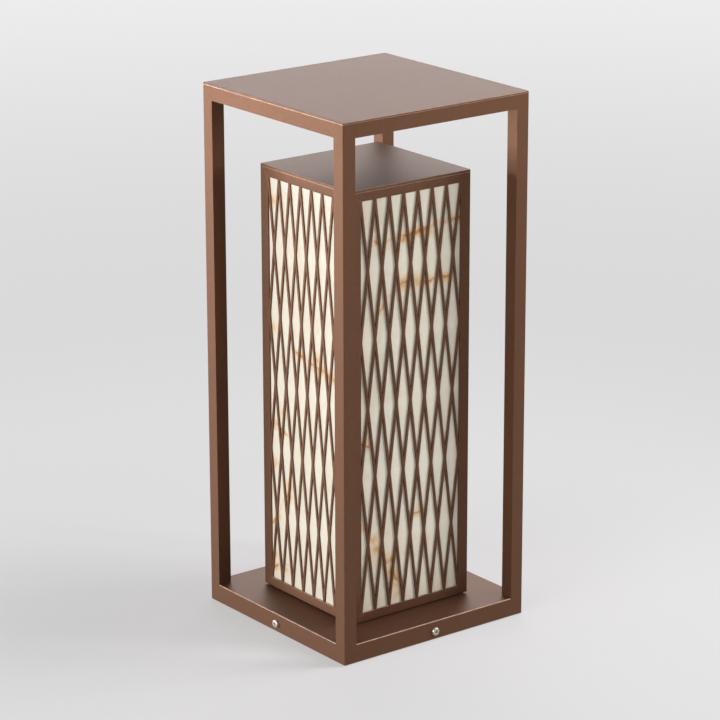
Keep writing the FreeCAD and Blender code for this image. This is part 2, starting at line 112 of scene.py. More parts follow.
def watts(text, note, value):
    """Power property."""
    return FloatProperty(name=text, description=f"{note}, in watts", default=value)


class LatticeSizes(PropertyGroup):
    """How the lantern's sides are cut."""

    columns: whole("Columns", "Diamonds side by side", 7)
    rows: whole("Rows", "Diamonds one above another", 3)
    stile: length("Width of the solid strip at each side", 0.013)
    head: length("Height of the solid strip at the top", 0.010)
    sill: length("Height of the solid strip at the bottom", 0.0105)
    bar: length("Width of a bar, measured level", 0.0032)
    corner_radius: length("Radius of a diamond's side corners", 0.020)
    edge_round: length("Round that the coat leaves on the cut edges", 0.0003)


class ScrewSizes(PropertyGroup):
    """Button-head screws in the base rim."""

    count: whole("Screws", "Screws round the rim", 4)
    head_diameter: length("Head's diameter", 0.0095)
    head_height: length("Head's height", 0.00275)
    head_rim: length("Height of the head's straight rim", 0.0004)
    head_flat: length("Diameter of the flat round the socket", 0.0070)
    socket_width: length("Socket's width across its flats", 0.003)
    socket_depth: length("Socket's depth", 0.0021)
    thread_depth: length("Depth of the thread", 0.00035)
    thread_pitch: length("Pitch of the thread", 0.0008)
    shank_radius: length("Shank's radius over its thread", 0.0025)
    shank_length: length("Shank's length", 0.012)


class StoneSizes(PropertyGroup):
    """How the onyx sits behind the lattice."""

    recess: length("Depth of the onyx's face below its CAD face", 0.0004)


class DiodeSizes(PropertyGroup):
    """Light-emitting diodes on the light column's boards."""

    pitch: length("Distance from one diode to the next", 0.012)
    end_gap: length("Distance from a board's end to its first diode", 0.0095)
    width: length("Diode's width", 0.0035)
    height: length("Diode's height along the board", 0.0028)
    thickness: length("Diode's thickness", 0.0007)
    lens_share: share("Share of the height that the lens takes", 0.8)


class Finishes(PropertyGroup):
    """Colours and textures of the finishes."""

    coat: colour("Bronze coat", (0.113, 0.048, 0.0225))
    coat_deep: colour("Bronze coat where it is thickest", (0.099, 0.0415, 0.0195))
    # Lighter tone of the thin coat on edges; on upward edges and on the sloping faces of
    # rounded edges it is also a painted highlight
    coat_edge_and_highlight: colour("Bronze coat where it is thin, on edges", (0.64, 0.49, 0.40))
    coat_roughness: share("Bronze coat's roughness", 0.54)
    stone: colour("Onyx", (0.755, 0.71, 0.595))
    stone_cool: colour("Onyx, greenish clouds", (0.715, 0.685, 0.555))
    stone_warm: colour("Onyx, rosy clouds", (0.71, 0.635, 0.50))
    stone_rust: colour("Onyx, rust veins", (0.42, 0.15, 0.04))
    stone_amber: colour("Onyx, stain beside a vein", (0.74, 0.43, 0.17))
    stone_roughness: share("Onyx's roughness", 0.22)
    grain: length("Size of the coat's grain", 0.0011)
    grain_height: length("Height of the coat's grain", 0.000012)


class StudioSetup(PropertyGroup):
    """Camera, lamps, floor and backdrop."""

    azimuth: degrees("Azimuth", "Camera's turn about the lamp, 0 looking along +Y", -37.53)
    elevation: degrees("Elevation", "Camera's height above the horizon", 17.43)
    roll: degrees("Roll", "Camera's tilt to its side", -0.11)
    distance: length("Distance from the camera to the point it looks at", 3.4771)
    focal_length: FloatProperty(
        name="Focal length", description="Lens, in millimetres", default=157.65
    )
    aim: FloatVectorProperty(
        name="Aim",
        description="Point that the camera looks at",
        default=(-0.0061, 0.0017, 0.2924),
        subtype="TRANSLATION",
        unit="LENGTH",
    )
    key_power: watts("Key lamp", "Wide soft lamp on the left", 118)
    side_power: watts("Side lamp", "Soft lamp on the right", 43)
    sheen_power: watts(
        "Sheen lamp", "Low soft lamp behind on the left for reflections alone", 180
    )
    back_power: watts("Back lamp", "Wide soft lamp behind on the right", 52)
    top_power: watts("Top lamp", "Soft lamp overhead", 18)
    sky: share("Even light of the studio", 0.13)
    backdrop: colour("Backdrop and far floor", (0.865, 0.855, 0.865))
    floor: colour("Floor", (0.80, 0.79, 0.80))
    # Painted floor tones that the camera sees: painted light round the lamp, a painted shade a
    # metre or two away, and a share of painted light laid over the lamp's shadow beside it
    middle_floor_painted_shade: colour("Floor a metre or two away, as it is seen", (0.71, 0.70, 0.705))
    near_floor_painted_light: colour("Floor round the lamp", (0.755, 0.745, 0.75))
    floor_painted_light: share("Even share of the floor's tone beside the lamp", 0.55)


# Node trees


def fill(tree, sockets, values):
    """Sets sockets, by name or number, to values or links other nodes' outputs to them."""
    for key, value in values.items():
        if isinstance(value, NodeSocket):
            tree.links.new(value, sockets[key])
        else:
            sockets[key].default_value = value


def add_node(tree, kind, inputs=None, **settings):
    """Adds a node with its settings and fills its inputs."""
    node = tree.nodes.new(kind)
    for name, value in settings.items():
        setattr(node, name, value)
    fill(tree, node.inputs, inputs or {})
    return node


def output(tree, kind, inputs=None, **settings):
    """First output of a node that add_node adds."""
    return add_node(tree, kind, inputs, **settings).outputs[0]


def maths(tree, operation, *values, clamp=False):
    """Output of a Math node on the values."""
    inputs = dict(enumerate(values))
    return output(tree, "ShaderNodeMath", inputs, operation=operation, use_clamp=clamp)


def product(tree, first, *others):
    """Product of the values, taken in their order."""
    for value in others:
        first = maths(tree, "MULTIPLY", first, value)
    return first


def vector_maths(tree, operation, *values):
    """Output of a Vector Math node on the values, a vector or a number."""
    inputs = dict(enumerate(values))
    node = add_node(tree, "ShaderNodeVectorMath", inputs, operation=operation)
    return node.outputs["Value" if operation in ("LENGTH", "DOT_PRODUCT") else "Vector"]


def component(tree, vector, axis):
    """Part of a vector along the axis of that letter."""
    return add_node(tree, "ShaderNodeSeparateXYZ", {0: vector}).outputs[axis]


def xyz(tree, x=0.0, y=0.0, z=0.0):
    """Vector of three parts."""
    return output(tree, "ShaderNodeCombineXYZ", {0: x, 1: y, 2: z})


def remap(tree, value, low, high, new_low=0.0, new_high=1.0, smooth=False):
    """Value carried from one range to another and kept within it."""
    kind = "SMOOTHSTEP" if smooth else "LINEAR"
    inputs = {0: value, 1: low, 2: high, 3: new_low, 4: new_high}
    return output(tree, "ShaderNodeMapRange", inputs, interpolation_type=kind)


def mixed(tree, factor, first, second):
    """Colour between two colours."""
    inputs = {0: factor, 6: opaque(first), 7: opaque(second)}
    return add_node(tree, "ShaderNodeMix", inputs, data_type="RGBA").outputs[2]


def opaque(tone):
    """Colour with an alpha of 1, or the socket as it is."""
    return tone if isinstance(tone, NodeSocket) else (*tone, 1)


def object_place(tree, factors=(1, 1, 1)):
    """Place on the piece in its own frame, stretched by the factors."""
    place = add_node(tree, "ShaderNodeTexCoord").outputs["Object"]
    return vector_maths(tree, "MULTIPLY", place, factors)


def noise(tree, place, scale, detail=2.0, roughness=0.5):
    """Value of a noise texture."""
    inputs = {"Vector": place, "Scale": scale, "Detail": detail, "Roughness": roughness}
    return output(tree, "ShaderNodeTexNoise", inputs)


def seen_directly(tree):
    """1 for rays of the camera and for what metal or glass shows, 0 for light."""
    path = add_node(tree, "ShaderNodeLightPath").outputs
    shown = maths(tree, "MAXIMUM", path["Is Glossy Ray"], path["Is Transmission Ray"])
    return maths(tree, "MAXIMUM", path["Is Camera Ray"], shown)


def start_group(name, inputs, outputs, kind="ShaderNodeTree"):
    """Empty node group with its sockets: the tree, its inputs and its outputs."""
    tree = bpy.data.node_groups.new(name, kind)
    for in_out, sockets in (("INPUT", inputs), ("OUTPUT", outputs)):
        for label, socket in sockets.items():
            socket_type = f"NodeSocket{socket}"
            tree.interface.new_socket(label, in_out=in_out, socket_type=socket_type)
    given = tree.nodes.new("NodeGroupInput").outputs
    return tree, given, tree.nodes.new("NodeGroupOutput").inputs


def use_group(tree, name, inputs):
    """Outputs of a shader node group placed in a material's tree."""
    group = bpy.data.node_groups[name]
    return add_node(tree, "ShaderNodeGroup", inputs, node_tree=group).outputs


def slow_clouds(tree, size, shift, contrast):
    """Value of the clouds."""
    values = {"Size": size, "Shift": shift, "Contrast": contrast}
    return use_group(tree, "slow_clouds", values)["Value"]


def fine_grain(tree, size, height):
    """Value and normal of the fine grain."""
    return use_group(tree, "fine_grain", {"Size": size, "Height": height})


def bumped(tree, value, height):
    """Normal of a surface that the value raises by up to the height."""
    inputs = {"Strength": 1.0, "Distance": height, "Height": value}
    return output(tree, "ShaderNodeBump", inputs)


FLOAT, VECTOR = "Float", "Vector"
SKIN = {"Value": FLOAT, "Normal": VECTOR}
GEOMETRY = ({"Geometry": "Geometry"}, "GeometryNodeTree")


def wavy_place(tree, size, amount):
    """Place on the piece, pushed about by noise, for patches with a ragged outline."""
    place = object_place(tree)
    inputs = {"Vector": place, "Scale": 1 / size}
    push = add_node(tree, "ShaderNodeTexNoise", inputs).outputs["Color"]
    push = vector_maths(tree, "SUBTRACT", push, (0.5, 0.5, 0.5))
    push = vector_maths(tree, "MULTIPLY", push, (amount, amount, amount))
    return vector_maths(tree, "ADD", place, push)


def grain_group():
    """Fine pebbled surface, as of powder coat or moulded plastic."""
    sizes = {"Size": FLOAT, "Height": FLOAT}
    tree, given, made = start_group("fine_grain", sizes, SKIN)
    value = noise(tree, object_place(tree), maths(tree, "DIVIDE", 1.0, given["Size"]))
    fill(tree, made, {"Value": value, "Normal": bumped(tree, value, given["Height"])})


def brushed_group():
    """Fine lines along one axis, as of rolled or turned metal."""
    sizes = {"Stretch": VECTOR, "Height": FLOAT}
    tree, given, made = start_group("brushed_lines", sizes, SKIN)
    place = vector_maths(tree, "MULTIPLY", object_place(tree), given["Stretch"])
    value = noise(tree, place, 1.0, detail=3.0, roughness=0.6)
    fill(tree, made, {"Value": value, "Normal": bumped(tree, value, given["Height"])})


def edge_group():
    """Mask of a piece's edges, broken up, where a coat is thin or metal is rubbed, and of a
    painted highlight.

    The upper-edge setting, from 0 to 1, keeps it to the edges that face upwards, and adds the
    faces of the rounded edges themselves, the only coated ones on this lamp that slope. That
    part is a painted highlight along the upper edges.
    """
    sizes = {"Width": FLOAT, "Amount": FLOAT, "Upper Only": FLOAT}
    tree, given, made = start_group("edge_wear", sizes, {"Mask": FLOAT})
    rounded = output(tree, "ShaderNodeBevel", {"Radius": given["Width"]}, samples=6)
    true_normal = add_node(tree, "ShaderNodeNewGeometry").outputs["True Normal"]
    along = vector_maths(tree, "DOT_PRODUCT", rounded, true_normal)
    bent = remap(tree, along, 0.992, 0.88, smooth=True)
    slope = component(tree, true_normal, "Z")
    # Painted highlight: the sloping faces of the rounded edges get part of the light edge tone
    slope_highlight = remap(tree, slope, 0.1, 0.3, 0.0, 0.32)
    slope_highlight = product(tree, slope_highlight, remap(tree, slope, 0.995, 0.96), given["Upper Only"])
    bent = maths(tree, "MAXIMUM", bent, slope_highlight)
    patches = remap(tree, noise(tree, object_place(tree), 90.0), 0.35, 0.6, 0.65, 1.0)
    # Edges that face downwards are left out by the upper-edge setting, so that the painted
    # highlight lies on the upper edges only
    level = component(tree, rounded, "Z")
    below = remap(tree, level, 0.45, 0.10, 0.0, given["Upper Only"])
    upper = maths(tree, "SUBTRACT", 1.0, below)
    fill(tree, made, {"Mask": product(tree, bent, patches, upper, given["Amount"])})


def cloud_group():
    """Slow variation over a surface, from 0 to 1."""
    sizes = {"Size": FLOAT, "Shift": VECTOR, "Contrast": FLOAT}
    tree, given, made = start_group("slow_clouds", sizes, {"Value": FLOAT})
    place = vector_maths(tree, "ADD", object_place(tree), given["Shift"])
    value = noise(tree, place, maths(tree, "DIVIDE", 1.0, given["Size"]), detail=4.0)
    spread = product(tree, maths(tree, "SUBTRACT", value, 0.5), given["Contrast"])
    fill(tree, made, {"Value": maths(tree, "ADD", spread, 0.5, clamp=True)})


def vein_group():
    """One vein: a wavy sheet through the stone about a centre, with a stain that runs down."""
    sizes = {"Centre": VECTOR, "Rise": VECTOR, "Reach": FLOAT, "Width": FLOAT}
    tree, given, made = start_group("rust_vein", sizes, {"Line": FLOAT, "Stain": FLOAT})
    place = object_place(tree)
    from_centre = vector_maths(tree, "SUBTRACT", place, given["Centre"])
    level = vector_maths(tree, "DOT_PRODUCT", from_centre, given["Rise"])
    for scale, detail, sway in ((26.0, 2.0, 0.016), (190.0, 3.0, 0.004)):
        wave = maths(tree, "SUBTRACT", noise(tree, place, scale, detail), 0.5)
        level = maths(tree, "MULTIPLY_ADD", wave, sway, level)
    above = maths(tree, "MAXIMUM", level, 0.0)
    below = product(tree, maths(tree, "MINIMUM", level, 0.0), -0.6)
    across = maths(tree, "DIVIDE", maths(tree, "ADD", above, below), given["Width"])
    distance = vector_maths(tree, "LENGTH", from_centre)
    reach = maths(tree, "DIVIDE", distance, given["Reach"])
    fade = remap(tree, reach, 0.55, 1.0, 1.0, 0.0, smooth=True)
    patches = noise(tree, place, 52.0, detail=1.0)
    dense = remap(tree, patches, 0.40, 0.62, 0.12, 1.0, smooth=True)
    line = remap(tree, across, 0.1, 1.0, 1.0, 0.0, smooth=True)
    stain = remap(tree, across, 0.3, 3.4, 1.0, 0.0, smooth=True)
    shown = product(tree, fade, dense)
    line, stain = product(tree, line, shown), product(tree, stain, shown)
    fill(tree, made, {"Line": line, "Stain": stain})


def spot_group():
    """One stained spot: a dense core and a wider stain round it."""
    sizes = {"Place": VECTOR, "Centre": VECTOR, "Radius": FLOAT, "Strength": FLOAT}
    tree, given, made = start_group("stained_spot", sizes, {"Core": FLOAT, "Stain": FLOAT})
    off = vector_maths(tree, "SUBTRACT", given["Place"], given["Centre"])
    reach = maths(tree, "DIVIDE", vector_maths(tree, "LENGTH", off), given["Radius"])
    core = remap(tree, reach, 0.1, 0.62, 0.85, 0.0, smooth=True)
    stain = remap(tree, reach, 0.25, 1.35, 0.9, 0.0, smooth=True)
    dense = product(tree, core, maths(tree, "POWER", given["Strength"], 3.0))
    fill(tree, made, {"Core": dense, "Stain": product(tree, stain, given["Strength"])})


# Finishes


def finish(name, build):
    """Material of that name, with its tree built once on a Principled BSDF."""
    material = bpy.data.materials.get(name)
    if material is None:
        material = bpy.data.materials.new(name)
        material.use_nodes = True
        build(material.node_tree, material.node_tree.nodes["Principled BSDF"])
    return material


def feed(tree, shader, **inputs):
    """Fills the shader's sockets, which are named here with _ for a space."""
    fill(tree, shader.inputs, {name.replace("_", " "): inputs[name] for name in inputs})


def bronze_coat():
    """Satin bronze powder coat: slow clouds, a pebbled skin, thin edges, and a painted
    highlight along the upper edges.
    """

    def build(tree, shader):
        look = bpy.context.scene.lamp_finishes
        clouds = slow_clouds(tree, 0.11, (0.3, 0.1, 0.2), 1.6)
        skin = fine_grain(tree, look.grain, look.grain_height)
        flakes = fine_grain(tree, 0.00035, 0.0)["Value"]
        # Edge mask: thin coat on all edges, and a painted highlight on the upper edges and on
        # the sloping faces of rounded edges
        wear_and_highlight = {"Width": 0.0009, "Amount": 0.9, "Upper Only": 1.0}
        edge = use_group(tree, "edge_wear", wear_and_highlight)["Mask"]
        tone = mixed(tree, clouds, look.coat_deep, look.coat)
        tone = mixed(tree, remap(tree, flakes, 0.58, 0.72, 0.0, 0.22), tone, look.coat_edge_and_highlight)
        tone = mixed(tree, edge, tone, look.coat_edge_and_highlight)
        base = look.coat_roughness
        rough = remap(tree, skin["Value"], 0.3, 0.7, base - 0.04, base + 0.05)
        rough = maths(tree, "SUBTRACT", rough, product(tree, edge, 0.22))
        feed(tree, shader, Base_Color=tone, Roughness=rough, Normal=skin["Normal"])
        metal = remap(tree, edge, 0.0, 1.0, 0.68, 0.90)
        feed(tree, shader, Metallic=metal, Specular_IOR_Level=0.3)

    return finish("satin_bronze_coat", build)


# Veins of the four faces: place along the face and height, rise, reach and half width.
# Lengths in this table and the next are in millimetres
VEINS = {
    "front": (
        (20, 455.5, (-0.1, 1), 85, 2.6), (22, 397.5, (0.02, 1), 50, 2.1),
        (-36, 379, (-0.9, 0.6), 16, 1.4), (-56, 224, (0.5, 1), 20, 1.4),
        (12, 133.5, (0.1, 1), 14, 1.2), (-34, 88, (0.86, 0.52), 50, 2.6),
    ),
    "left": (
        (74, 484, (0.9, 0.25), 25, 1.8), (-12, 304, (-0.19, 1), 50, 2.2),
        (60, 222, (-0.62, 1), 35, 1.9), (54, 121, (0.85, 0.6), 45, 1.7),
        (61, 49, (0.43, 1), 30, 2),
    ),
    "right": ((20, 360, (-0.35, 1), 85, 2), (-35, 170, (0.75, 0.65), 50, 2.1)),
    "back": (
        (10, 260, (0.25, 1), 90, 2.1), (-40, 430, (0.8, 0.6), 45, 1.8),
        (30, 100, (-0.3, 1), 50, 2),
    ),
}


# Stained spots on the four faces: place along the face and height, radius and strength
SPOTS = {
    "front": (
        (-47.3, 451.4, 6, 1), (-9.4, 448.7, 7.2, 1), (48.9, 458.7, 5, 0.8),
        (-9.3, 399.5, 11, 0.85), (9.7, 397.8, 10.5, 0.8), (50.4, 397.6, 6, 0.4),
        (-36.5, 378.7, 6, 0.4), (-59.2, 232.3, 8, 0.5), (-56.5, 224.9, 8, 0.6),
        (10.2, 135.1, 8, 0.45), (-62.1, 131.7, 6, 0.8), (-49.7, 114.9, 10, 0.75),
        (-45.6, 102.3, 11, 0.85), (-27.5, 86.3, 10, 0.92), (-26.1, 71.9, 9, 0.8),
        (-19.1, 54.8, 9.5, 0.75), (-17.6, 43.8, 8.5, 0.6),
    ),
    "left": (
        (74, 484.3, 9, 0.9), (61.7, 329.9, 7, 0.6), (22.6, 310, 7, 0.6),
        (15.7, 308.8, 6, 1), (-3, 309.5, 7, 0.5), (-16.2, 311, 9, 0.8),
        (-27.4, 302.4, 9.5, 0.9), (-37.2, 296.4, 9.5, 0.95), (-47.6, 296.2, 8, 0.9),
        (44.5, 234.6, 8, 0.7), (62.3, 217.3, 7.5, 0.75), (62.5, 172.6, 8, 0.6),
        (35, 151, 8.5, 0.75), (34.5, 138, 8, 0.7), (58.3, 108.2, 7, 0.9),
        (64.3, 473.4, 9, 0.8), (62.9, 61.3, 7, 0.85), (44, 49, 7, 0.7),
    ),
    "right": ((52, 372, 7, 0.9), (-15, 347, 6.5, 0.7), (-42, 179, 7, 0.9)),
    "back": ((-30, 270, 7, 0.8), (48, 250, 6.5, 0.9), (-35, 427, 7, 0.7)),
}


def stone_face(side):
    """Axis that the side's onyx faces along, 1 or -1 for which way, and where its face is."""
    axis = 1 if side in ("front", "back") else 0
    outward = -1 if side in ("front", "left") else 1
    low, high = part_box(f"stone_{side}")
    return axis, outward, (high if outward > 0 else low)[axis]


def on_face(side, along, height):
    """Place on the onyx's face of that side, from millimetres."""
    axis, _, face = stone_face(side)
    along, height = along * MM, height * MM
    return (along, face, height) if axis else (face, along, height)


def veined_onyx():
    """Polished pale onyx: clouds, faint bands and rust veins with amber beside them."""

    def build(tree, shader):
        look = bpy.context.scene.lamp_finishes
        cool = slow_clouds(tree, 0.045, (0.7, 0.2, 0.5), 3.0)
        warm = slow_clouds(tree, 0.060, (0.1, 0.9, 0.3), 3.4)
        cool = remap(tree, cool, 0.45, 0.85, 0.0, 0.75)
        warm = remap(tree, warm, 0.55, 0.9, 0.0, 0.6)
        tone = mixed(tree, cool, look.stone, look.stone_cool)
        tone = mixed(tree, warm, tone, look.stone_warm)
        bend = noise(tree, object_place(tree, (1.0, 1.0, 0.35)), 14.0, detail=3.0)
        level = component(tree, object_place(tree), "Z")
        height = maths(tree, "MULTIPLY_ADD", bend, 0.10, level)
        bands = maths(tree, "SINE", product(tree, height, 240.0))
        tone = mixed(tree, remap(tree, bands, 0.0, 1.0, 0.0, 0.07), tone, look.stone_amber)
        marks = []
        spread = wavy_place(tree, 0.011, 0.010)
        for side in SIDES:
            for along, height, (level, rise), reach, width in VEINS[side]:
                upward = (level, 0, rise) if side in ("front", "back") else (0, level, rise)
                values = {"Centre": on_face(side, along, height), "Rise": upward}
                values.update(Reach=reach * MM, Width=width * MM)
                marks.append(use_group(tree, "rust_vein", values))
            for along, height, radius, strength in SPOTS[side]:
                values = {"Centre": on_face(side, along, height), "Place": spread}
                values.update(Radius=radius * MM, Strength=strength)
                marks.append(use_group(tree, "stained_spot", values))
        line, stain = 0.0, 0.0
        for core, beside in marks:
            line = maths(tree, "MAXIMUM", line, core)
            stain = maths(tree, "MAXIMUM", stain, beside)
        tone = mixed(tree, product(tree, stain, 0.85), tone, look.stone_amber)
        tone = mixed(tree, product(tree, line, 0.8), tone, look.stone_rust)
        polish = fine_grain(tree, 0.004, 0.000004)
        base = look.stone_roughness
        rough = remap(tree, polish["Value"], 0.3, 0.7, base - 0.05, base + 0.06)
        feed(tree, shader, Base_Color=tone, Roughness=rough, Normal=polish["Normal"])
        feed(tree, shader, IOR=1.49)

    return finish("veined_onyx", build)


def bare_metal(name, tone, roughness, stretch):
    """Uncoated metal with fine lines and rubbed edges."""

    def build(tree, shader):
        lines = use_group(tree, "brushed_lines", {"Stretch": stretch, "Height": 0.000004})
        edge = use_group(tree, "edge_wear", {"Width": 0.0004, "Amount": 0.4})["Mask"]
        dull = [0.78 * part for part in tone]
        bright = mixed(tree, remap(tree, lines["Value"], 0.3, 0.7), dull, tone)
        bright = mixed(tree, edge, bright, [min(1.3 * part, 0.9) for part in tone])
        rough = remap(tree, lines["Value"], 0.3, 0.7, roughness + 0.08, roughness - 0.05)
        feed(tree, shader, Base_Color=bright, Roughness=rough, Normal=lines["Normal"])
        feed(tree, shader, Metallic=1.0)

    return finish(name, build)


def moulded(name, tone, roughness, grain=0.0006, height=0.00001):
    """Moulded rubber or plastic, or a lacquered board, with a fine grain."""

    def build(tree, shader):
        skin = fine_grain(tree, grain, height)
        clouds = slow_clouds(tree, 0.02, (0.5, 0.4, 0.6), 1.5)
        shade = mixed(tree, clouds, [0.88 * part for part in tone], tone)
        rough = remap(tree, skin["Value"], 0.3, 0.7, roughness - 0.06, roughness + 0.06)
        feed(tree, shader, Base_Color=shade, Roughness=rough, Normal=skin["Normal"])

    return finish(name, build)


def zinc_steel():
    """Plated steel of the small inner pieces."""
    return bare_metal("zinc_steel", (0.50, 0.50, 0.50), 0.38, (900, 900, 25))


def black_rubber():
    """Matt rubber of the gasket, the feet and the inlet."""
    return moulded("black_rubber", (0.022, 0.021, 0.020), 0.72)


def coat_nodes(names, material):
    """Gives a finish to CAD nodes, which keep their shape."""
    for name in names:
        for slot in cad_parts[name].material_slots:
            slot.material = material


# Meshes


def new_piece(name, data, material=None):
    """Object at the origin that holds the data, linked to the scene."""
    piece = bpy.data.objects.new(name, data)
    bpy.context.scene.collection.objects.link(piece)
    if material is not None:
        data.materials.clear()
        data.materials.append(material)
    return piece


@contextmanager
def editing(mesh):
    """Opens the mesh for editing and writes it back afterwards."""
    shape = bmesh.new()
    shape.from_mesh(mesh)
    yield shape
    shape.to_mesh(mesh)
    shape.free()


def mesh_from(name, points, faces):
    """Mesh from points and faces, with its doubles merged and its faces outward."""
    mesh = bpy.data.meshes.new(name)
    mesh.from_pydata(points, [], faces)
    with editing(mesh) as shape:
        bmesh.ops.remove_doubles(shape, verts=shape.verts, dist=DOUBLES)
        bmesh.ops.recalc_face_normals(shape, faces=shape.faces)
    return mesh


def modelled(piece, name):
    """Plain mesh of the piece with its modifiers applied. The piece is removed."""
    piece.data.update()
    bpy.context.view_layer.update()
    graph = bpy.context.evaluated_depsgraph_get()
    mesh = bpy.data.meshes.new_from_object(piece.evaluated_get(graph))
    mesh.name = name
    bpy.data.objects.remove(piece)
    return mesh


def smooth_below(mesh, angle):
    """Shades the mesh smooth but for edges that bend more than the angle."""
    mesh.shade_smooth()
    with editing(mesh) as shape:
        for edge in shape.edges:
            edge.smooth = len(edge.link_faces) == 2 and edge.calc_face_angle(0) < angle


def nodes_modifier(piece, tree, values):
    """Adds the geometry nodes to the piece, with its inputs set by their labels."""
    modifier = piece.modifiers.new(tree.name, "NODES")
    modifier.node_group = tree
    for item in tree.interface.items_tree:
        if item.item_type == "SOCKET" and item.name in values:
            modifier[item.identifier] = values[item.name]


def joined(tree, *parts):
    """The parts' geometries as one."""
    node = add_node(tree, "GeometryNodeJoinGeometry")
    for part in parts:
        tree.links.new(part, node.inputs[0])
    return node.outputs[0]


def copies(tree, points, piece, turn=(0, 0, 0)):
    """Copies of the piece at the points, as real geometry."""
    inputs = {"Points": points, "Instance": piece, "Rotation": turn}
    placed = output(tree, "GeometryNodeInstanceOnPoints", inputs)
    return output(tree, "GeometryNodeRealizeInstances", {0: placed})


def put_out(tree, given, made, geometry):
    """Ends geometry nodes with the geometry in the given material."""
    inputs = {0: geometry, "Material": given["Material"]}
    fill(tree, made, {"Geometry": output(tree, "GeometryNodeSetMaterial", inputs)})


def lattice_tree():
    """Geometry nodes: a sheet cut into tall diamonds in staggered rows."""
    lengths = ("Width", "Low", "High", "Bar", "Corner Radius", "Front", "Thickness")
    sockets = {"Sheet": "Geometry", "Columns": "Int", "Rows": "Int", "Material": "Material"}
    sockets.update(dict.fromkeys(lengths, FLOAT))
    tree, given, made = start_group("diamond_lattice", sockets, *GEOMETRY)
    pitch = maths(tree, "DIVIDE", given["Width"], given["Columns"])
    field = maths(tree, "SUBTRACT", given["High"], given["Low"])
    row = maths(tree, "DIVIDE", field, given["Rows"])
    open_share = maths(tree, "SUBTRACT", 1.0, maths(tree, "DIVIDE", given["Bar"], pitch))
    half_wide = product(tree, pitch, 0.5, open_share)
    half_tall = product(tree, row, 0.5, open_share)

    # Only the side corners, whose numbers are even, are rounded
    corners = {
        "Point 1": xyz(tree, half_wide),
        "Point 2": xyz(tree, 0.0, half_tall),
        "Point 3": xyz(tree, product(tree, half_wide, -1.0)),
        "Point 4": xyz(tree, 0.0, product(tree, half_tall, -1.0)),
    }
    outline = output(
        tree, "GeometryNodeCurvePrimitiveQuadrilateral", corners, mode="POINTS"
    )
    is_tip = maths(tree, "MODULO", output(tree, "GeometryNodeInputIndex"), 2.0)
    is_side = maths(tree, "SUBTRACT", 1.0, is_tip)
    radius = product(tree, is_side, given["Corner Radius"])
    fillet = {"Curve": outline, "Count": 6, "Radius": radius}
    rounded = output(tree, "GeometryNodeFilletCurve", fillet, mode="POLY")
    face = output(tree, "GeometryNodeFillCurve", {0: rounded}, mode="NGONS")
    depth = product(tree, given["Thickness"], 2.0)
    drawn = {"Mesh": face, "Offset": xyz(tree, z=depth), "Individual": False}
    wall = output(tree, "GeometryNodeExtrudeMesh", drawn)
    closed = joined(tree, wall, output(tree, "GeometryNodeFlipFaces", {0: face}))
    merged = {0: closed, "Distance": DOUBLES}
    cutter = output(tree, "GeometryNodeMergeByDistance", merged)

    # Whole rows and the rows between them
    grids = []
    for fewer_columns, fewer_rows in ((1.0, 0.0), (0.0, 1.0)):
        across = maths(tree, "SUBTRACT", given["Columns"], fewer_columns)
        upward = maths(tree, "SUBTRACT", given["Rows"], fewer_rows)
        grid = {
            "Size X": product(tree, pitch, across),
            "Size Y": product(tree, row, upward),
            "Vertices X": maths(tree, "ADD", across, 1.0),
            "Vertices Y": maths(tree, "ADD", upward, 1.0),
        }
        grids.append(output(tree, "GeometryNodeMeshGrid", grid))
    cutters = copies(tree, joined(tree, *grids), cutter)

    # Kept within the field, by a block that is deeper than any sheet
    room = xyz(tree, given["Width"], field, 1.0)
    block = output(tree, "GeometryNodeMeshCube", {"Size": room})
    kind = "GeometryNodeMeshBoolean"
    clipped = add_node(tree, kind, operation="INTERSECT", solver="EXACT")
    for part in (cutters, block):
        tree.links.new(part, clipped.inputs[1])

    # Stood up, so that the cutters' depth runs through the sheet
    middle = product(tree, maths(tree, "ADD", given["Low"], given["High"]), 0.5)
    behind = maths(tree, "MULTIPLY_ADD", given["Thickness"], 1.5, given["Front"])
    stand = {0: clipped.outputs[0], "Translation": xyz(tree, 0.0, behind, middle)}
    stood = output(tree, "GeometryNodeTransform", {**stand, "Rotation": (QUARTER, 0, 0)})
    shapes = {0: given["Sheet"], 1: stood}
    cut = add_node(tree, kind, shapes, operation="DIFFERENCE", solver="EXACT")

    # Cut edges on the front face are marked for rounding
    depth_at = component(tree, output(tree, "GeometryNodeInputPosition"), "Y")
    half = maths(tree, "MULTIPLY_ADD", given["Thickness"], 0.5, given["Front"])
    mark = {
        0: cut.outputs["Mesh"],
        "Selection": cut.outputs["Intersecting Edges"],
        "Name": "bevel_weight_edge",
        "Value": maths(tree, "LESS_THAN", depth_at, half),
    }
    kind = "GeometryNodeStoreNamedAttribute"
    marked = output(tree, kind, mark, data_type="FLOAT", domain="EDGE")
    whole = output(tree, "GeometryNodeRealizeInstances", {0: marked})
    put_out(tree, given, made, whole)
    return tree


def copies_tree():
    """Geometry nodes: copies of a piece, each a step higher and a turn further about +Z."""
    sockets = {"Piece": "Geometry", "Count": "Int", "Material": "Material"}
    sockets.update(Step=FLOAT, Turn=FLOAT)
    tree, given, made = start_group("stepped_copies", sockets, *GEOMETRY)
    line = {"Count": given["Count"], "Offset": xyz(tree, z=given["Step"])}
    points = output(tree, "GeometryNodeMeshLine", line)
    angle = product(tree, output(tree, "GeometryNodeInputIndex"), given["Turn"])
    put_out(tree, given, made, copies(tree, points, given["Piece"], xyz(tree, z=angle)))
    return tree


def add_copies(piece, material, count, step=0.0, turn=0.0):
    """Repeats the piece, stepped upwards or turned about +Z."""
    tree = bpy.data.node_groups.get("stepped_copies") or copies_tree()
    values = {"Count": count, "Step": step, "Turn": turn, "Material": material}
    nodes_modifier(piece, tree, values)


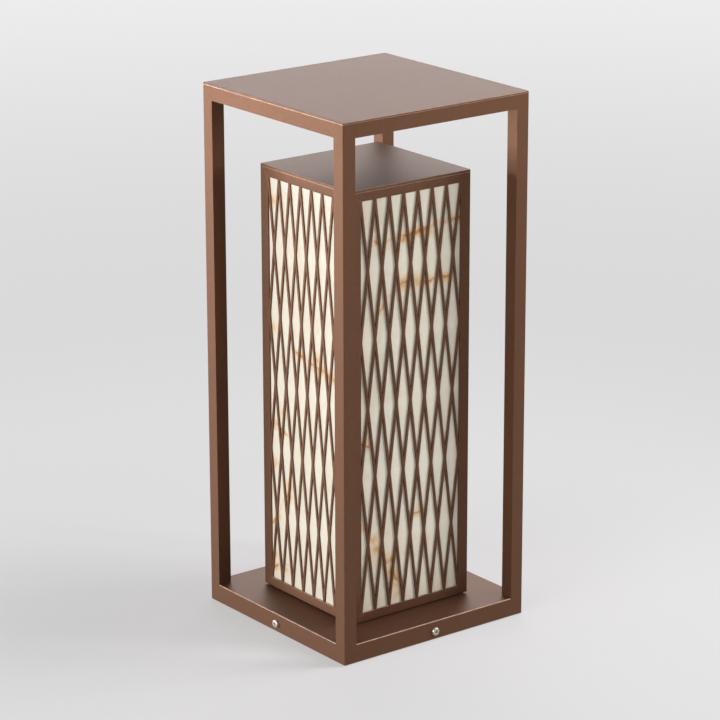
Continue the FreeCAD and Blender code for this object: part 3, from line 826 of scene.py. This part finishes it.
def block_mesh(name, low, high, chamfer):
    """Block between two corners, with all its edges chamfered."""
    mesh = bpy.data.meshes.new(name)
    middle, reach = (low + high) / 2, high - low
    with editing(mesh) as shape:
        bmesh.ops.create_cube(shape, size=1.0)
        for corner in shape.verts:
            corner.co = middle + Vector(c * r for c, r in zip(corner.co, reach))
        edges = shape.edges[:]
        bmesh.ops.bevel(shape, geom=edges, offset=chamfer, segments=1, affect="EDGES")
    return mesh


def round_to(radius):
    """The same radius for every angle."""
    return lambda angle: radius


def turned_mesh(name, rings, segments):
    """Mesh round +Z through rings, each of them a radius for every angle and a height."""
    points, faces = [], []
    for radius_at, height in rings:
        for number in range(segments):
            angle = math.tau * number / segments
            radius = radius_at(angle)
            points.append((radius * math.cos(angle), radius * math.sin(angle), height))
    for low in range(0, len(points) - segments, segments):
        high = low + segments
        for number in range(segments):
            following = (number + 1) % segments
            faces.append((low + number, low + following, high + following, high + number))
    return mesh_from(name, points, faces)


def lens_mesh(name, middle, radius, seat, front):
    """Low round lens that faces -Y, from its seat to its front."""
    half = (seat + front) / 2
    outline = ((0.0, front), (0.7, front), (1.0, half), (1.0, seat), (0.0, seat))
    rings = [(round_to(radius * reach), depth) for reach, depth in outline]
    mesh = turned_mesh(name, rings, segments=10)
    mesh.transform(Matrix.Translation(middle) @ Matrix.Rotation(-QUARTER, 4, "X"))
    return mesh


def screw_mesh(sizes, dome_steps=8, rings_per_turn=8):
    """Button-head screw along -Z from the seat of its head."""
    top, flat, outer = sizes.head_height, sizes.head_flat / 2, sizes.head_diameter / 2
    apothem = sizes.socket_width / 2
    socket_floor = top - sizes.socket_depth
    cone_depth = apothem * 0.4
    tip_radius = sizes.shank_radius * 0.75

    def hexagon(angle):
        return apothem / math.cos(angle % (math.pi / 3) - math.pi / 6)

    def thread(height):
        def radius(angle):
            turn = height / sizes.thread_pitch - angle / math.tau
            groove = 0.5 + 0.5 * math.cos(turn * math.tau)
            return sizes.shank_radius - sizes.thread_depth * groove

        return radius

    rings = [
        (round_to(0.0), socket_floor - cone_depth),
        (hexagon, socket_floor),
        (hexagon, top - HAIR),
        (lambda angle: hexagon(angle) + HAIR, top),
        (round_to(flat), top),
    ]
    for step in range(1, dome_steps + 1):
        angle = QUARTER * step / dome_steps
        radius = flat + (outer - flat) * math.sin(angle)
        height = sizes.head_rim + (top - sizes.head_rim) * math.cos(angle)
        rings.append((round_to(radius), height))
    rings += [(round_to(outer), 0.0), (round_to(sizes.shank_radius), 0.0)]
    steps = round(sizes.shank_length / sizes.thread_pitch * rings_per_turn)
    for step in range(rings_per_turn, steps - rings_per_turn // 2):
        height = -sizes.shank_length * step / steps
        rings.append((thread(height), height))
    rings += [(round_to(radius), -sizes.shank_length) for radius in (tip_radius, 0.0)]
    return turned_mesh("side_screw", rings, segments=36)


# Operators, one for each group of pieces


class LAMP_OT_cage(Operator):
    """Coats the welded cage: posts, top rails, top plate and base tray"""

    bl_idname = "lamp.cage"
    bl_label = "Cage"

    def execute(self, context):
        names = [f"post_{corner}" for corner in CORNERS]
        names += [f"top_rail_{side}" for side in SIDES]
        coat_nodes([*names, "top_plate", "base_tray"], bronze_coat())
        return {"FINISHED"}


class LAMP_OT_lattice(Operator):
    """Builds the lantern's four lattice panels"""

    bl_idname = "lamp.lattice"
    bl_label = "Lattice panels"

    def execute(self, context):
        sizes = context.scene.lamp_lattice
        low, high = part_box("lattice_front")
        half, thickness = high.x, high.y - low.y
        inner = half - thickness
        corners = [(-half, low.y), (half, low.y), (inner, high.y), (-inner, high.y)]
        points = [(x, y, z) for z in (low.z, high.z) for x, y in corners]
        faces = [(0, 1, 2, 3), (4, 5, 6, 7)]
        faces += [(n, (n + 1) % 4, (n + 1) % 4 + 4, n + 4) for n in range(4)]
        sheet = new_piece("lattice_sheet", mesh_from("lattice_sheet", points, faces))
        values = {
            "Width": 2 * (half - sizes.stile),
            "Low": low.z + sizes.sill,
            "High": high.z - sizes.head,
            "Front": low.y,
            "Thickness": thickness,
            "Material": bronze_coat(),
        }
        for name in ("Columns", "Rows", "Bar", "Corner Radius"):
            values[name] = getattr(sizes, name.lower().replace(" ", "_"))
        nodes_modifier(sheet, lattice_tree(), values)
        bevel = sheet.modifiers.new("coat_round", "BEVEL")
        bevel.width = sizes.edge_round
        bevel.segments = 2
        bevel.limit_method = "WEIGHT"
        bevel.miter_outer = "MITER_ARC"
        bevel.use_clamp_overlap = False
        mesh = modelled(sheet, "lattice_panel")
        smooth_below(mesh, SMOOTH_ANGLE)
        for turn, side in enumerate(SIDES):
            panel_mesh = mesh.copy()
            panel_mesh.transform(Matrix.Rotation(turn * QUARTER, 4, "Z"))
            panel = new_piece(f"lattice_panel_{side}", panel_mesh)
            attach(panel, BODY)
            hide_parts(f"lattice_{side}")
        return {"FINISHED"}


class LAMP_OT_lantern(Operator):
    """Coats the lantern's cap, floor and corner angles and blackens its gasket"""

    bl_idname = "lamp.lantern"
    bl_label = "Lantern body"

    def execute(self, context):
        names = [f"corner_angle_{corner}" for corner in CORNERS]
        coat_nodes([*names, "lantern_cap", "lantern_floor"], bronze_coat())
        coat_nodes(["gasket"], black_rubber())
        return {"FINISHED"}


class LAMP_OT_stone(Operator):
    """Builds the veined onyx panels and finishes their retainers"""

    bl_idname = "lamp.stone"
    bl_label = "Stone panels"

    def execute(self, context):
        recess = context.scene.lamp_stone.recess
        for side in SIDES:
            shape = bmesh.new()
            shape.from_mesh(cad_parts[f"stone_{side}"].data)
            bmesh.ops.remove_doubles(shape, verts=shape.verts, dist=CAD_DOUBLES)
            axis, outward, face = stone_face(side)
            for corner in shape.verts:
                if abs(corner.co[axis] - face) < FACE_REACH:
                    corner.co[axis] -= outward * recess
            mesh = bpy.data.meshes.new(f"onyx_panel_{side}")
            shape.to_mesh(mesh)
            shape.free()
            panel = new_piece(f"onyx_panel_{side}", mesh, veined_onyx())
            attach(panel, BODY)
            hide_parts(f"stone_{side}")
        coat_nodes([f"stone_retainer_{corner}" for corner in CORNERS], zinc_steel())
        return {"FINISHED"}


class LAMP_OT_side_screws(Operator):
    """Builds the domed screws in the base rim"""

    bl_idname = "lamp.side_screws"
    bl_label = "Side screws"

    def execute(self, context):
        sizes = context.scene.lamp_screws
        low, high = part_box("side_screws")
        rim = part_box("base_tray")[0].y
        height = (low.z + high.z) / 2
        mesh = screw_mesh(sizes)
        upright = Matrix.Rotation(QUARTER, 4, "X")
        mesh.transform(Matrix.Translation((0, rim, height)) @ upright)
        screw = new_piece("side_screw", mesh)
        steel = bare_metal("turned_stainless", (0.53, 0.48, 0.43), 0.36, (300, 300, 300))
        add_copies(screw, steel, sizes.count, turn=math.tau / sizes.count)
        mesh = modelled(screw, "domed_side_screws")
        smooth_below(mesh, THREAD_ANGLE)
        screws = new_piece("domed_side_screws", mesh)
        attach(screws, BODY)
        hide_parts("side_screws")
        return {"FINISHED"}


class LAMP_OT_light(Operator):
    """Finishes the light column, its boards and what feeds them"""

    bl_idname = "lamp.light"
    bl_label = "Light column"

    def execute(self, context):
        aluminium = bare_metal("mill_aluminium", (0.72, 0.72, 0.73), 0.34, (700, 700, 20))
        coat_nodes(["light_column", "column_foot"], aluminium)
        coat_nodes(["driver"], moulded("white_housing", (0.74, 0.74, 0.71), 0.52))
        coat_nodes(["terminal_block"], moulded("cream_terminal", (0.68, 0.67, 0.58), 0.48))
        self.add_boards(context.scene.lamp_diodes)
        return {"FINISHED"}

    def add_boards(self, sizes):
        low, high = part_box("light_board_front")
        seat = low.y + sizes.thickness
        count = int((high.z - low.z - 2 * sizes.end_gap) / sizes.pitch) + 1
        board_chamfer = 0.00008
        board = block_mesh("board", Vector((low.x, seat, low.z)), high, board_chamfer)
        # The lens stands out of its housing, which goes a little into the board
        across = Vector((sizes.width / 2, 0, sizes.height / 2))
        place = Vector((0, 0, low.z + sizes.end_gap))
        back = place - across + Vector((0, low.y + HAIR / 2, 0))
        front = place + across + Vector((0, seat + HAIR, 0))
        housing = block_mesh("diode_housing", back, front, HAIR)
        radius = sizes.height / 2 * sizes.lens_share
        lens = lens_mesh("diode_lens", place, radius, low.y + HAIR, low.y)
        lacquer = moulded("white_board", (0.80, 0.80, 0.77), 0.42, 0.0009, 0.000004)
        resin = moulded("diode_housing", (0.86, 0.86, 0.84), 0.38, 0.0005, 0.000004)
        phosphor = moulded("diode_phosphor", (0.84, 0.66, 0.16), 0.30, 0.0004, 0.000004)
        nodes = [f"light_board_{side}" for side in SIDES]
        for name, mesh, material, replaced in (
            ("white_light_boards", board, lacquer, nodes),
            ("diode_housings", housing, resin, []),
            ("diode_lenses", lens, phosphor, []),
        ):
            piece = new_piece(name, mesh)
            if not replaced:
                add_copies(piece, material, count, step=sizes.pitch)
            add_copies(piece, material, len(SIDES), turn=QUARTER)
            made = new_piece(name, modelled(piece, name))
            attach(made, BODY)
            if replaced:
                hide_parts(*replaced)


class LAMP_OT_underside(Operator):
    """Finishes the base plate, feet, inlet and lantern screws"""

    bl_idname = "lamp.underside"
    bl_label = "Underside"

    def execute(self, context):
        coat_nodes(["lantern_screws"], zinc_steel())
        rolled = bare_metal("rolled_steel", (0.50, 0.50, 0.50), 0.36, (30, 900, 900))
        coat_nodes(["base_plate"], rolled)
        feet = [f"foot_{corner}" for corner in CORNERS]
        coat_nodes([*feet, "cable_inlet"], black_rubber())
        return {"FINISHED"}


class LAMP_OT_studio(Operator):
    """Sets up the floor, backdrop, lamps and camera"""

    bl_idname = "lamp.studio"
    bl_label = "Studio"

    def execute(self, context):
        setup = context.scene.lamp_studio
        context.scene.view_settings.view_transform = "Standard"
        self.add_floor(setup)
        self.add_world(context.scene, setup)
        self.add_lamp("key_lamp", setup.key_power, (-3.35, -0.75, 0.78), (2.6, 1.5))
        self.add_lamp("side_lamp", setup.side_power, (1.86, -1.36, 1.08), (1.0, 0.9))
        sheen = self.add_lamp("sheen_lamp", setup.sheen_power, (-2.7, 2.8, 0.46), (2.6, 0.88))
        sheen.visible_diffuse = False
        self.add_lamp("top_lamp", setup.top_power, (1.35, -0.68, 2.30), (1.1, 1.1))
        self.add_lamp("back_lamp", setup.back_power, (2.1, 2.75, 1.35), (3.0, 1.6))
        self.add_camera(context.scene, setup)
        return {"FINISHED"}

    def add_floor(self, setup):
        reach = 20.0
        corners = ((-reach, -reach), (reach, -reach), (reach, reach), (-reach, reach))
        mesh = bpy.data.meshes.new("studio_floor")
        mesh.from_pydata([(x, y, 0) for x, y in corners], [], [(0, 1, 2, 3)])

        def build(tree, shader):
            feed(tree, shader, Base_Color=(*setup.floor, 1), Roughness=0.85)
            feed(tree, shader, Specular_IOR_Level=0.2)
            # Away from the lamp the camera sees a painted tone, lighter round the lamp and
            # darker a metre or two away, that pales to the backdrop's; beside the lamp part of
            # this painted light lies over the lit floor and lightens the lamp's shadow
            away = vector_maths(tree, "LENGTH", object_place(tree))
            painted_share = remap(tree, away, 0.30, 0.85, setup.floor_painted_light, 1.0, smooth=True)
            pale = remap(tree, away, 1.2, 4.2, smooth=True)
            near = remap(tree, away, 0.45, 1.2, smooth=True)
            tone = mixed(tree, near, setup.near_floor_painted_light, setup.middle_floor_painted_shade)
            tone = mixed(tree, pale, tone, setup.backdrop)
            even = output(tree, "ShaderNodeEmission", {0: tone})
            share_seen = product(tree, painted_share, seen_directly(tree))
            shaders = {0: share_seen, 1: shader.outputs[0], 2: even}
            both = output(tree, "ShaderNodeMixShader", shaders)
            tree.links.new(both, tree.nodes["Material Output"].inputs[0])

        floor = new_piece("studio_floor", mesh, finish("pale_floor", build))

    def add_world(self, scene, setup):
        world = bpy.data.worlds.new("studio")
        world.use_nodes = True
        tree = world.node_tree
        tree.nodes.clear()
        sky = (setup.sky, setup.sky, setup.sky, 1)
        even = output(tree, "ShaderNodeBackground", {"Color": sky})
        seen = output(tree, "ShaderNodeBackground", {"Color": (*setup.backdrop, 1)})
        shaders = {0: seen_directly(tree), 1: even, 2: seen}
        both = output(tree, "ShaderNodeMixShader", shaders)
        add_node(tree, "ShaderNodeOutputWorld", {0: both})
        scene.world = world

    def add_lamp(self, name, power, place, size):
        light = bpy.data.lights.new(name, "AREA")
        light.energy = power
        light.shape = "RECTANGLE"
        light.size, light.size_y = size
        lamp = new_piece(name, light)
        lamp.location = place
        towards = Vector((0, 0, LAMP_MIDDLE)) - Vector(place)
        lamp.rotation_euler = towards.to_track_quat("-Z", "Y").to_euler()
        lamp.visible_camera = False
        return lamp

    def add_camera(self, scene, setup):
        camera = new_piece("camera", bpy.data.cameras.new("camera"))
        turn, rise = setup.azimuth, setup.elevation
        level = math.cos(rise)
        back = Vector((math.sin(turn) * level, -math.cos(turn) * level, math.sin(rise)))
        right = Vector((math.cos(turn), math.sin(turn), 0))
        up = back.cross(right)
        across = right * math.cos(setup.roll) + up * math.sin(setup.roll)
        upward = up * math.cos(setup.roll) - right * math.sin(setup.roll)
        axes = Matrix((across, upward, back)).transposed().to_4x4()
        place = Vector(setup.aim) + back * setup.distance
        camera.matrix_world = Matrix.Translation(place) @ axes
        camera.data.lens = setup.focal_length
        camera.data.sensor_width = 36.0
        camera.data.clip_end = 100.0
        scene.camera = camera


class LAMP_PT_sidebar(Panel):
    """The lamp's pieces, sizes and finishes"""

    bl_idname = "LAMP_PT_sidebar"
    bl_label = "Andon Floor Lamp"
    bl_space_type = "VIEW_3D"
    bl_region_type = "UI"
    bl_category = "Andon Lamp"

    def draw(self, context):
        for operator in OPERATORS:
            self.layout.operator(operator.bl_idname)
        for group in SETTINGS:
            box = self.layout.box()
            settings = getattr(context.scene, group)
            for name in settings.__annotations__:
                box.prop(settings, name)


OPERATORS = (
    LAMP_OT_studio,
    LAMP_OT_cage,
    LAMP_OT_lattice,
    LAMP_OT_lantern,
    LAMP_OT_stone,
    LAMP_OT_side_screws,
    LAMP_OT_light,
    LAMP_OT_underside,
)
SETTINGS = {
    "lamp_lattice": LatticeSizes,
    "lamp_screws": ScrewSizes,
    "lamp_stone": StoneSizes,
    "lamp_diodes": DiodeSizes,
    "lamp_finishes": Finishes,
    "lamp_studio": StudioSetup,
}
CLASSES = (*SETTINGS.values(), *OPERATORS, LAMP_PT_sidebar)


def register():
    """Registers the classes and the scene's settings."""
    for group in CLASSES:
        bpy.utils.register_class(group)
    for name, group in SETTINGS.items():
        setattr(bpy.types.Scene, name, PointerProperty(type=group))


def unregister():
    """Takes away what register added."""
    for name in SETTINGS:
        delattr(bpy.types.Scene, name)
    for group in reversed(CLASSES):
        bpy.utils.unregister_class(group)


SHADER_GROUPS = (
    grain_group,
    brushed_group,
    edge_group,
    cloud_group,
    vein_group,
    spot_group,
)


def main():
    """Dresses the lamp."""
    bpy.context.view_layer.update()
    register()
    for build_group in SHADER_GROUPS:
        build_group()
    for operator in OPERATORS:
        area, name = operator.bl_idname.split(".")
        getattr(getattr(bpy.ops, area), name)()


if __name__ == "__main__":
    main()
